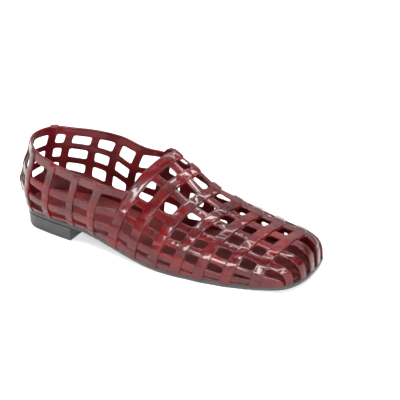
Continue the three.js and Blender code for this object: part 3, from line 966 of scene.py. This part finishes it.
def is_open(gap, bay):
    if gap == 0:
        return bay < HEM_GAP_END
    return gap >= 2 or bay != TOE_BAY


def build_lining():
    mesh = Mesh()
    for side in SIDES:
        for bay in range(FIRST_COLUMN[side], TOE_BAY + 1):
            last = 1 if bay == TOE_BAY else 1 + half_width(bay + 1)
            for gap in range(3 if bay < 0 else 5):
                low = 0 if gap == 0 else 2 * gap + 0.5
                high = COLLAR_ROW if bay < 0 and gap == 2 else 2 * gap + 2.5
                rows = (2 * gap + 1, 2 * gap + 2)
                if side == "medial":
                    low, high = mirror(high), mirror(low)
                    rows = (mirror(rows[1]), mirror(rows[0]))
                place = (bay, -half_width(bay), last, low, high)
                if is_open(gap, bay):
                    window_tile(mesh, *place, (0, 1, *rows))
                else:
                    whole_tile(mesh, *place)
    whole_tile(mesh, 0, -HOOP_WIDTH, -HOOP_WIDTH / 2, COLLAR_ROW, mirror(COLLAR_ROW))
    return mesh.object("lining_cage", LINING_LEATHER)


# Bindings roll over the edge of the collar and of the throat

BINDING_POINTS = 14
COLLAR_ROLL_LEVEL = 1.05
COLLAR_ROLL_HEIGHT = 1.1
COLLAR_ROLL_END = 2.5  # how far the roll runs on under the throat hoop
THROAT_ROLL_LEVEL = 0.9
THROAT_ROLL_WIDTH = 0.8
THROAT_ROLL_INSET = 0.3
THROAT_ROLL_OVERLAP = 0.2  # rows that it reaches past the collar's edge
THROAT_STEPS = 60
ROLL_ANGLE = np.linspace(0, 2 * math.pi, BINDING_POINTS, endpoint=False)[None, :]


def build_collar_binding(side):
    run = spots(FIRST_COLUMN[side], 0)
    run = run[(run[:, 0] < -1) | (run[:, 2] < COLLAR_ROLL_END)]
    rise = COLLAR_ROLL_HEIGHT * np.sin(ROLL_ANGLE) / COLLAR_WIDTH[side]
    level = EDGE_LEVEL + COLLAR_ROLL_LEVEL * np.cos(ROLL_ANGLE)
    height = COLLAR_ROW + rise if side == "lateral" else mirror(COLLAR_ROW) - rise
    points = wall(run[:, 0:1], run[:, 1:2], run[:, 2:3], height, level)
    return tube_object(f"collar_binding_{side}", points, LEATHER)


def build_throat_binding():
    start = COLLAR_ROW - THROAT_ROLL_OVERLAP
    heights = np.linspace(start, mirror(start), THROAT_STEPS)[:, None]
    offset = -HOOP_WIDTH + THROAT_ROLL_INSET - THROAT_ROLL_WIDTH * np.sin(ROLL_ANGLE)
    level = EDGE_LEVEL + THROAT_ROLL_LEVEL * np.cos(ROLL_ANGLE)
    return tube_object("throat_binding", wall(0.0, 0.0, offset, heights, level), LEATHER)


# Sole, heel and insole

SOLE_STEPS = 150
CAP_STEPS = 12
SOLE_SHARP_ANGLE = 35

# The outsole's edge from the ground up: inset from the outline, height from its underside (below
# 0: from its top)
SOLE_EDGE_ROWS = table(
    "inset height",
    (1.3, 0),
    (0.55, 0.18),
    (0.12, 0.6),
    (0, 1.1),
    (0, 2.2),
    (0.05, -1.15),
    (0.3, -0.95),
    (0.3, -0.8),
    (0.05, -0.62),
    (0.05, -0.35),
    (0.25, -0.12),
    (0.7, 0.0),
)


def cap_points(outline, height):
    """A grid of points across a ring, from its lateral half to its medial half."""
    half = len(outline) // 2
    lateral = outline[: half + 1]
    medial = np.vstack([outline[half:], outline[:1]])[::-1]
    t = np.linspace(0, 1, CAP_STEPS + 1)[None, :, None]
    points = lerp(lateral[:, None, :], medial[:, None, :], t)
    points[:, :, 2] = height(points[:, :, 0], t[:, :, 0])
    return points


def slab(name, rings, under, top, material, sharp=SHARP_ANGLE):
    """A closed slab from the rings of its edge and the heights of its two faces."""
    mesh = Mesh()
    mesh.rings(rings)
    mesh.grid(cap_points(rings[0], under))
    mesh.grid(cap_points(rings[-1], top), flip=True)
    return mesh.object(name, material, sharp)


def build_outsole():
    rings = []
    for i, row in enumerate(SOLE_EDGE_ROWS):
        points = ring(row["inset"], SOLE_STEPS)
        from_top = row["height"] < 0 or i == len(SOLE_EDGE_ROWS) - 1
        base = sole_top(points[:, 0]) if from_top else sole_under(points[:, 0])
        points[:, 2] = base + row["height"]
        rings.append(points)

    def under(x, t):
        return sole_under(x)

    def top(x, t):
        return sole_top(x)

    return slab("outsole_rubber", rings, under, top, SOLE, SOLE_SHARP_ANGLE)


# The heel from the floor up: its height and how far it is drawn in, with the lines of its layers
HEEL_ROWS = table(
    "height inset",
    (0, 1.55),
    (0.25, 1.15),
    (0.7, 1.0),
    (3.4, 0.85),
    (3.6, 0.95),
    (3.8, 0.95),
    (4, 0.8),
    (6.6, 0.57),
    (6.8, 0.64),
    (6.9, 0.64),
    (7.1, 0.55),
    (9.8, 0.37),
    (10, 0.44),
    (10.1, 0.44),
    (10.3, 0.35),
    (12.9, 0.15),
    (13.2, 0.3),
)
HEEL_STEPS = 48
BREAST_STEPS = 14
BREAST_SEARCH_STEPS = 4000
HEEL_FACE_RINGS = (0, 0.35, 0.7, 1)


def heel_ring(inset, height):
    """The heel's outline: the back of the sole, closed by a slanted breast."""
    halves = []
    for side in SIDES:
        line = inset_side(side, inset, FINE_OUTLINE_STEPS)
        reach = np.linspace(0, line.length, BREAST_SEARCH_STEPS)
        points = line.at(reach)
        breast = HEEL_LENGTH - HEEL_CENTRE + HEEL_SLANT * points[:, 1] - inset
        far = reach[np.argmax(points[:, 0] >= breast)]
        halves.append(line.at(np.linspace(0, far, HEEL_STEPS + 1)))
    lateral, medial = halves
    t = (np.arange(1, BREAST_STEPS) / BREAST_STEPS)[:, None]
    breast = lerp(lateral[-1], medial[-1], t)
    outline = np.vstack([lateral, breast, medial[:0:-1]])
    outline[:, 2] = height
    return outline


def build_heel():
    mesh = Mesh()
    rings = [heel_ring(row["inset"], row["height"]) for row in HEEL_ROWS]
    mesh.rings(rings)
    for outline in (rings[0], rings[-1]):
        middle = outline.mean(axis=0)
        mesh.rings([lerp(outline, middle, t) for t in HEEL_FACE_RINGS])
    return mesh.object("heel_block", HEEL, SOLE_SHARP_ANGLE)


# The insole's edge: inset from its outline and height above its base
INSOLE_ROWS = table(
    "inset height",
    (0.5, 0),
    (0.05, 0.4),
    (0, 0.9),
    (0.12, 1.45),
    (0.5, 1.85),
    (1.2, INSOLE_THICKNESS),
)
INSOLE_DISH = 0.5
DISH_BLEND = 0.3


def build_insole():
    rings = []
    for row in INSOLE_ROWS:
        points = ring(FEATHER_INSET + INSOLE_CLEARANCE + row["inset"], SOLE_STEPS)
        points[:, 2] = sole_top(points[:, 0]) + SEAT_GAP + row["height"]
        rings.append(points)

    def under(x, t):
        return sole_top(x) + SEAT_GAP

    def top(x, t):
        dish = INSOLE_DISH * smoothstep(np.minimum(t, 1 - t), 0, DISH_BLEND)
        return sole_top(x) + SEAT_GAP + INSOLE_THICKNESS - dish

    return slab("insole_leather", rings, under, top, INSOLE_LEATHER)


# Materials: depths of the bumps in millimetres, and how much rougher the worn places are

FOLD_DEPTH = 0.1
PLATE_DEPTH = 0.05
CRINKLE_DEPTH = 0.17
PORE_DEPTH = 0.1
SCUFF_DEPTH = 0.12
WORN_ROUGHNESS = 0.16
SCUFFED_ROUGHNESS = 0.2


class Shading:
    """The nodes of a material or world. Scales are in repeats per metre."""

    def __init__(self, owner):
        owner.use_nodes = True
        self.owner = owner
        self.nodes = owner.node_tree.nodes
        self.links = owner.node_tree.links
        self.place = self.nodes.new("ShaderNodeTexCoord")

    def feed(self, socket, value):
        if hasattr(value, "is_output"):
            self.links.new(value, socket)
        else:
            socket.default_value = (*value, 1) if isinstance(value, tuple) else value

    def node(self, kind, inputs):
        made = self.nodes.new(kind)
        for key, value in inputs.items():
            self.feed(made.inputs[key], value)
        return made

    def shader(self, inputs):
        for key, value in inputs.items():
            self.feed(self.nodes["Principled BSDF"].inputs[key], value)

    def noise(self, scale, detail, rough, distortion=0):
        inputs = {"Vector": self.place.outputs["Object"], "Scale": scale, "Detail": detail}
        inputs |= {"Roughness": rough, "Distortion": distortion}
        return self.node("ShaderNodeTexNoise", inputs).outputs["Fac"]

    def cells(self, scale, feature="F1"):
        inputs = {"Vector": self.place.outputs["Object"], "Scale": scale}
        made = self.node("ShaderNodeTexVoronoi", inputs)
        made.feature = feature
        return made.outputs["Distance"]

    def ramp(self, value, *stops):
        """A colour ramp from pairs of a position and a colour or grey value."""
        made = self.node("ShaderNodeValToRGB", {"Fac": value})
        elements = made.color_ramp.elements
        while len(elements) < len(stops):
            elements.new(0.5)
        for element, (position, colour) in zip(elements, stops):
            element.position = position
            grey = not isinstance(colour, tuple)
            element.color = (colour, colour, colour, 1) if grey else (*colour, 1)
        return made.outputs["Color"]

    def multiply(self, share, first, second):
        """One colour darkened by another, by a share."""
        made = self.nodes.new("ShaderNodeMix")
        made.data_type = "RGBA"
        made.blend_type = "MULTIPLY"
        for key, value in (("Factor", share), ("A", first), ("B", second)):
            self.feed(made.inputs[key], value)
        return made.outputs["Result"]

    def bump(self, height, depth, before=None, strength=1):
        """A bump of a depth in millimetres."""
        made = self.node("ShaderNodeBump", {"Height": height, "Distance": depth * MM, "Strength": strength})
        if before is not None:
            self.feed(made.inputs["Normal"], before)
        return made.outputs["Normal"]


def leather_material(name, deep, main, bright, gloss, grain, coat):
    """Leather with cloudy colour, a crinkled grain of cells with painted shade in the grooves between them,
    and fine pores.
    """
    leather = Shading(bpy.data.materials.new(name))
    clouds = leather.noise(scale=42, detail=4, rough=0.6)
    colour = leather.ramp(clouds, (0.34, deep), (0.5, main), (0.66, bright))
    creases = leather.cells(scale=620, feature="DISTANCE_TO_EDGE")
    # Painted shade: the colour is darkened in the grooves between the grain's cells, where the plates bump
    # sinks.
    groove_painted_shade = leather.ramp(creases, (0, 0.45), (0.16, 1))
    colour = leather.multiply(0.55 * grain, colour, groove_painted_shade)
    mottle = leather.noise(scale=900, detail=3, rough=0.65)
    colour = leather.multiply(0.5, colour, leather.ramp(mottle, (0.32, 0.72), (0.68, 1.18)))
    wear = leather.noise(scale=150, detail=4, rough=0.6)
    folds = leather.noise(scale=260, detail=2, rough=0.5, distortion=0.6)
    crinkle = leather.noise(scale=1150, detail=3, rough=0.6, distortion=0.8)
    plates = leather.ramp(creases, (0, 0), (0.2, 1))
    normal = leather.bump(folds, FOLD_DEPTH * grain)
    normal = leather.bump(plates, PLATE_DEPTH * grain, normal)
    normal = leather.bump(crinkle, CRINKLE_DEPTH * grain, normal)
    leather.shader(
        {
            "Base Color": colour,
            "Roughness": leather.ramp(wear, (0.3, gloss), (0.7, gloss + WORN_ROUGHNESS)),
            "Normal": normal,
            "Coat Weight": coat,
            "Coat Roughness": 0.08,
            "Specular IOR Level": 0.15,
        }
    )
    return leather.owner


def rubber_material(name, dark, light, gloss, pore_scale):
    """Rubber or stained layers: faint clouds, pores and a satin surface."""
    rubber = Shading(bpy.data.materials.new(name))
    clouds = rubber.noise(scale=90, detail=4, rough=0.6)
    scuffs = rubber.noise(scale=320, detail=5, rough=0.7)
    normal = rubber.bump(rubber.cells(pore_scale), PORE_DEPTH, strength=0.5)
    normal = rubber.bump(scuffs, SCUFF_DEPTH, normal, strength=0.5)
    rubber.shader(
        {
            "Base Color": rubber.ramp(clouds, (0.3, dark), (0.7, light)),
            "Roughness": rubber.ramp(scuffs, (0.35, gloss), (0.7, gloss + SCUFFED_ROUGHNESS)),
            "Normal": normal,
        }
    )
    return rubber.owner


# grain sets the depths of the bumps and also how strong the painted shade in the grain's grooves is
LEATHERS = table(
    "name deep main bright gloss grain coat",
    ("strap_leather", (0.03, 0.0008, 0.0018), (0.056, 0.001, 0.0022), (0.098, 0.0012, 0.0018), 0.13, 1, 0.36),
    ("cage_lining", (0.04, 0.0016, 0.0028), (0.06, 0.0022, 0.0036), (0.085, 0.003, 0.0045), 0.3, 0.4, 0.2),
    ("insole_leather", (0.06, 0.007, 0.007), (0.085, 0.01, 0.01), (0.115, 0.015, 0.014), 0.5, 0.5, 0),
)
LEATHER, LINING_LEATHER, INSOLE_LEATHER = [leather_material(**row) for row in LEATHERS]
SOLE = rubber_material("sole_rubber", (0.012, 0.013, 0.013), (0.02, 0.021, 0.021), 0.38, 2400)
HEEL = rubber_material("heel_rubber", (0.011, 0.012, 0.012), (0.018, 0.019, 0.018), 0.36, 1900)


# The cage


def build_straps():
    made = []
    forefoot = spots(0, TOE_BAY + 1)
    for side in SIDES:

        def level(row):
            return row if side == "lateral" else mirror(row)

        whole = spots(FIRST_COLUMN[side], TOE_BAY + 1)
        to_last_hoop = spots(FIRST_COLUMN[side], TOE_BAY)
        in_toe = (whole[:, 0] == TOE_BAY) & (whole[:, 2] >= 0)
        for name, low, high, run in (
            ("feather_band", level(0), level(1), to_last_hoop),
            ("low_strap", level(2), level(3), to_last_hoop),
            ("side_strap", np.where(in_toe, level(0), level(4)), level(BAND_EDGE), whole),
            ("collar_strap", level(6), level(COLLAR_ROW), whole),
            ("top_strap", level(8), level(9), forefoot),
        ):
            made.append(long_strap(f"{name}_{side}", low, high, run))
    made.append(long_strap("middle_strap", HALF_ROWS - 1, HALF_ROWS, forefoot))
    return made


def build_hoops():
    made = []
    for column in range(len(HOOP_ROWS)):
        made.append(cross_strap(f"hoop_{column + 1}", column, 0, LAST_ROW, HOOP_WIDTH))
    return made


def build_posts():
    """The posts of both sides, the back post with the lateral ones. The first medial post is
    folded over the collar."""
    made = []
    back = FIRST_COLUMN["lateral"]
    for column in range(back, 0):
        bow = BOW if column == back else 0
        made.append(cross_strap(f"post_lateral_{-column}", column, 0, COLLAR_ROW, POST_WIDTH, bow=bow))
    folded = FIRST_COLUMN["medial"] + 1
    for column in range(folded, 0):
        fold = math.pi if column == folded else 0
        low = mirror(COLLAR_ROW)
        made.append(cross_strap(f"post_medial_{-column}", column, low, LAST_ROW, POST_WIDTH, fold))
    return made


bindings = [build_collar_binding("lateral"), build_collar_binding("medial"), build_throat_binding()]
for piece in [*build_straps(), *build_hoops(), *build_posts(), *bindings, build_lining()]:
    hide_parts("upper")

for piece, node, slot in (
    (build_outsole(), "outsole", "sole_rubber"),
    (build_heel(), "heel", "heel_rubber"),
    (build_insole(), "insole", "lining_leather"),
):
    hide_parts(node)


# Floor, light and camera

FLOOR_SIZE = 8
SHOE_MIDDLE = Vector((0.1, 0, 0.03))
VIEW_TURN = math.radians(24)
CAMERA_ELEVATION = 31
CAMERA_PLACE = (0.5848, -1.0232, 0.7257)
CAMERA_LENS = 144
CAMERA_SENSOR = 36

# The studio round the shoe, by the share of the way from the front horizon over the top to the back
STUDIO_RAMP = ((0, 0.5), (0.14, 0.4), (0.2, 0.03), (0.38, 0.02), (0.5, 0.5), (0.7, 0.85), (1, 0.9))
STUDIO_STRENGTH = 1.1

# Softboxes: their elevation over the front horizon, distance, width, height and power
SOFTBOXES = table(
    "name elevation distance wide tall power",
    ("side_softbox", 22, 1.3, 1.6, 0.2, 40),
    ("top_softbox", 80, 1.2, 1.6, 0.1, 24),
    ("back_softbox", 125, 1.4, 2, 1, 12),
)


def direction(elevation):
    """Out from the shoe towards the camera's side, at an elevation in degrees."""
    rise = math.radians(elevation)
    x = math.cos(rise) * math.sin(VIEW_TURN)
    y = -math.cos(rise) * math.cos(VIEW_TURN)
    return Vector((x, y, math.sin(rise)))


def build_floor():
    mesh = bpy.data.meshes.new("floor")
    half = FLOOR_SIZE / 2
    corners = [(-half, -half, 0), (half, -half, 0), (half, half, 0), (-half, half, 0)]
    mesh.from_pydata(corners, [], [(0, 1, 2, 3)])
    paper = Shading(bpy.data.materials.new("floor_paper"))
    paper.shader({"Base Color": (0.9, 0.9, 0.9), "Roughness": 0.9})
    mesh.materials.append(paper.owner)
    link("floor", mesh)


def studio_world():
    """Dark in front above the eye line, pale overhead and behind."""
    studio = Shading(bpy.data.worlds.new("studio"))
    place = studio.place.outputs["Generated"]
    front = studio.node("ShaderNodeVectorMath", {0: place, 1: direction(0)})
    front.operation = "DOT_PRODUCT"
    height = studio.node("ShaderNodeSeparateXYZ", {"Vector": place}).outputs["Z"]
    angle = studio.node("ShaderNodeMath", {0: height, 1: front.outputs["Value"]})
    angle.operation = "ARCTAN2"
    share = studio.node("ShaderNodeMath", {0: angle.outputs["Value"], 1: math.pi})
    share.operation = "DIVIDE"
    background = studio.nodes["Background"]
    studio.feed(background.inputs["Color"], studio.ramp(share.outputs["Value"], *STUDIO_RAMP))
    background.inputs["Strength"].default_value = STUDIO_STRENGTH
    return studio.owner


def add_softbox(row):
    light = bpy.data.lights.new(row["name"], "AREA")
    light.shape = "RECTANGLE"
    light.size = row["wide"]
    light.size_y = row["tall"]
    light.energy = row["power"]
    out = direction(row["elevation"])
    softbox = link(row["name"], light)
    softbox.location = SHOE_MIDDLE + out * row["distance"]
    softbox.rotation_euler = (-out).to_track_quat("-Z", "Y").to_euler()


def build_camera():
    back = direction(CAMERA_ELEVATION)
    right = Vector((math.cos(VIEW_TURN), math.sin(VIEW_TURN), 0))
    turn = Matrix((right, back.cross(right), back)).transposed().to_4x4()
    data = bpy.data.cameras.new("camera")
    data.lens = CAMERA_LENS
    data.sensor_width = CAMERA_SENSOR
    camera = link("camera", data)
    camera.matrix_world = Matrix.Translation(CAMERA_PLACE) @ turn
    bpy.context.scene.camera = camera


build_floor()
bpy.context.scene.world = studio_world()
for row in SOFTBOXES:
    add_softbox(row)
build_camera()
bpy.context.scene.view_settings.view_transform = "Standard"
